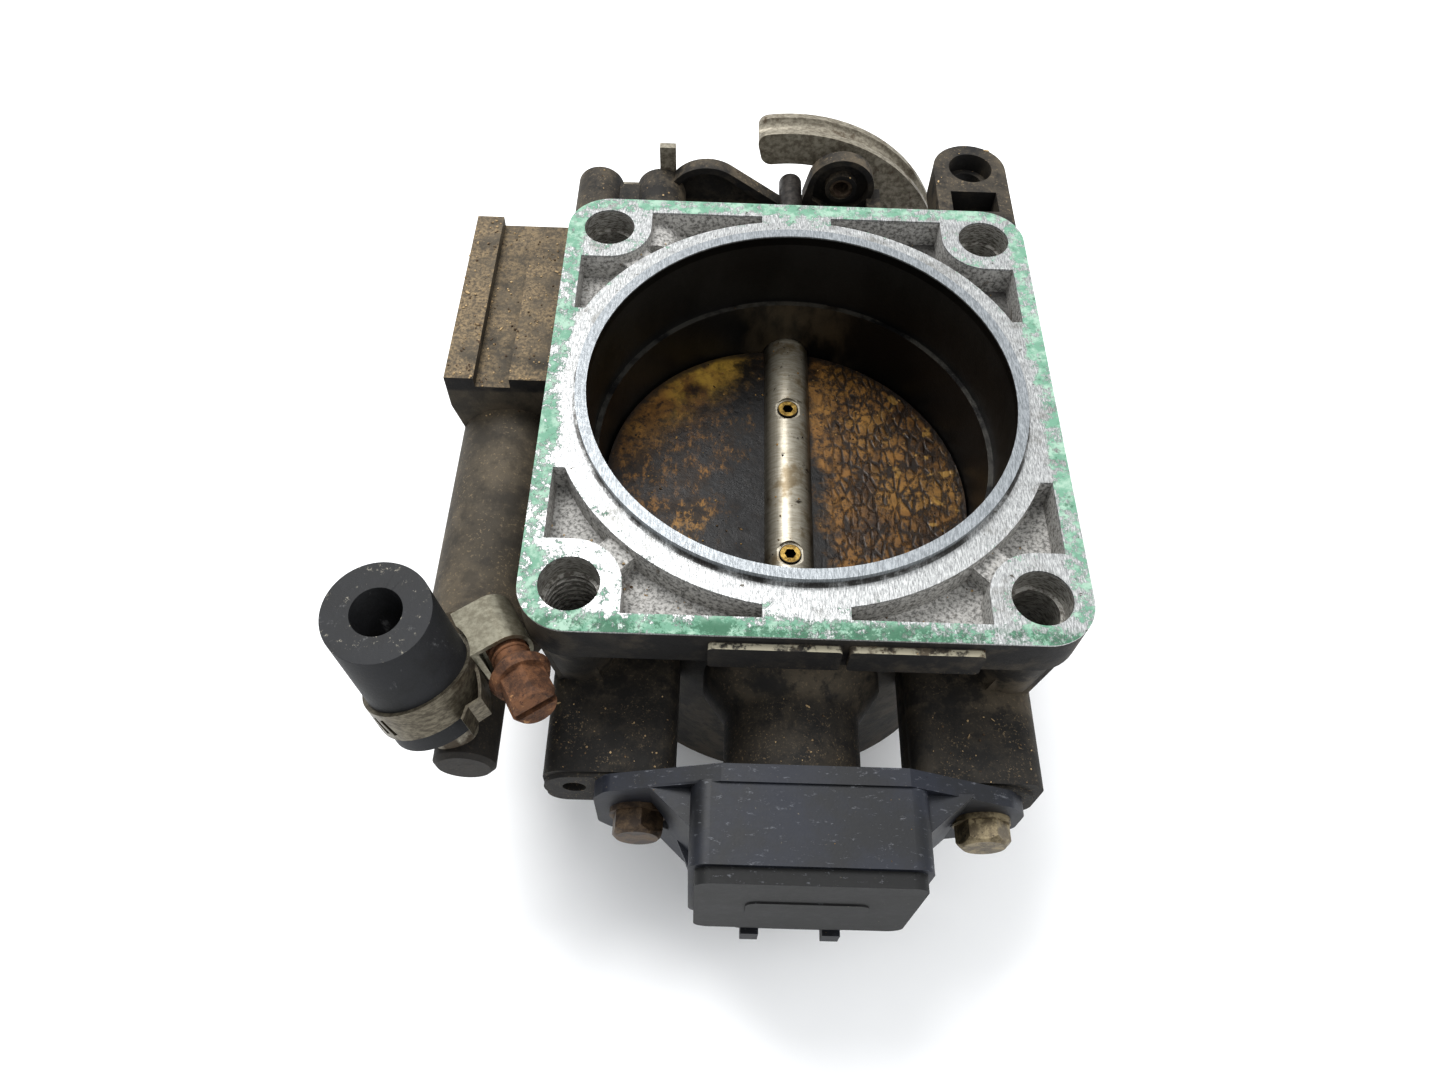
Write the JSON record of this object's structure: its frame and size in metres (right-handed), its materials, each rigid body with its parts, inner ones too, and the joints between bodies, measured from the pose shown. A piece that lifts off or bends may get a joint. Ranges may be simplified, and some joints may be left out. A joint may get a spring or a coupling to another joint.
{
  "type": "throttle body",
  "caption": "Cable-operated butterfly throttle body with a rectangular flange, shaft position sensor, grooved cable quadrant and coolant gallery with a clamped hose stub.",
  "frame": {"origin": "on the bore axis, level with the machined face of the engine-side flange", "axes": "+Z along the bore axis out of the flange face, +Y along the throttle shaft from the position sensor to the cable quadrant, +X to the side away from the coolant gallery"},
  "size_m": [0.121, 0.1675, 0.0805],
  "materials": {
    "cast_aluminium": "cast, dirty; machined on the flange",
    "steel_bright": "turned",
    "plate_brass": "stained",
    "brass": "worn",
    "bronze": "turned",
    "seal_rubber": "matt",
    "sensor_plastic": "moulded, worn",
    "lid_plastic": "moulded, worn",
    "board": "flat",
    "contact_metal": "plated",
    "steel_fastener": "rust-spotted",
    "steel_zinc": "dull plated",
    "spring_steel": "dark",
    "steel_rusty": "rusty",
    "hose_rubber": "matt, worn"
  },
  "bodies": {
    "housing": {"housing_casting": "cast_aluminium", "stop_pin": "steel_bright", "idle_stop_screw": "steel_bright", "idle_stop_locknut": "steel_bright", "sensor_sleeves": "brass", "front_shaft_bush": "bronze", "rear_shaft_bush": "bronze", "front_shaft_seal": "seal_rubber", "rear_shaft_seal": "seal_rubber", "sensor_seal_ring": "seal_rubber", "sensor_case": "sensor_plastic", "sensor_lid": "lid_plastic", "sensor_track": "board", "sensor_terminals": "contact_metal", "sensor_washers": "steel_fastener", "sensor_screws": "steel_fastener", "bracket_screws": "steel_fastener", "rear_bracket": "steel_zinc", "clamp_band": "steel_zinc", "clamp_housing": "steel_zinc", "inlet_nipple": "steel_zinc", "outlet_nipple": "steel_zinc", "gallery_plug": "steel_zinc", "inner_return_spring": "spring_steel", "outer_return_spring": "spring_steel", "anchor_pin": "steel_rusty", "clamp_screw": "steel_rusty", "coolant_hose": "hose_rubber"},
    "shaft": {"throttle_shaft": "steel_bright", "throttle_plate": "plate_brass", "plate_screws": "brass", "stop_lever": "steel_bright", "spring_sleeve": "sensor_plastic", "cable_quadrant": "steel_zinc", "quadrant_washer": "steel_bright", "quadrant_nut": "steel_bright", "sensor_rotor": "sensor_plastic", "sensor_wiper": "contact_metal", "shaft_retaining_ring": "steel_bright"}
  },
  "joints": [
    {"name": "throttle", "type": "hinge", "parent": "housing", "child": "shaft", "pos_m": [0, 0, -0.0315], "axis": [0, 1, 0], "range_deg": [0, 84], "stiffness_Nm_per_rad": 0.4, "springref_deg": -57.3, "deforming": ["inner_return_spring", "outer_return_spring"]}
  ]
}
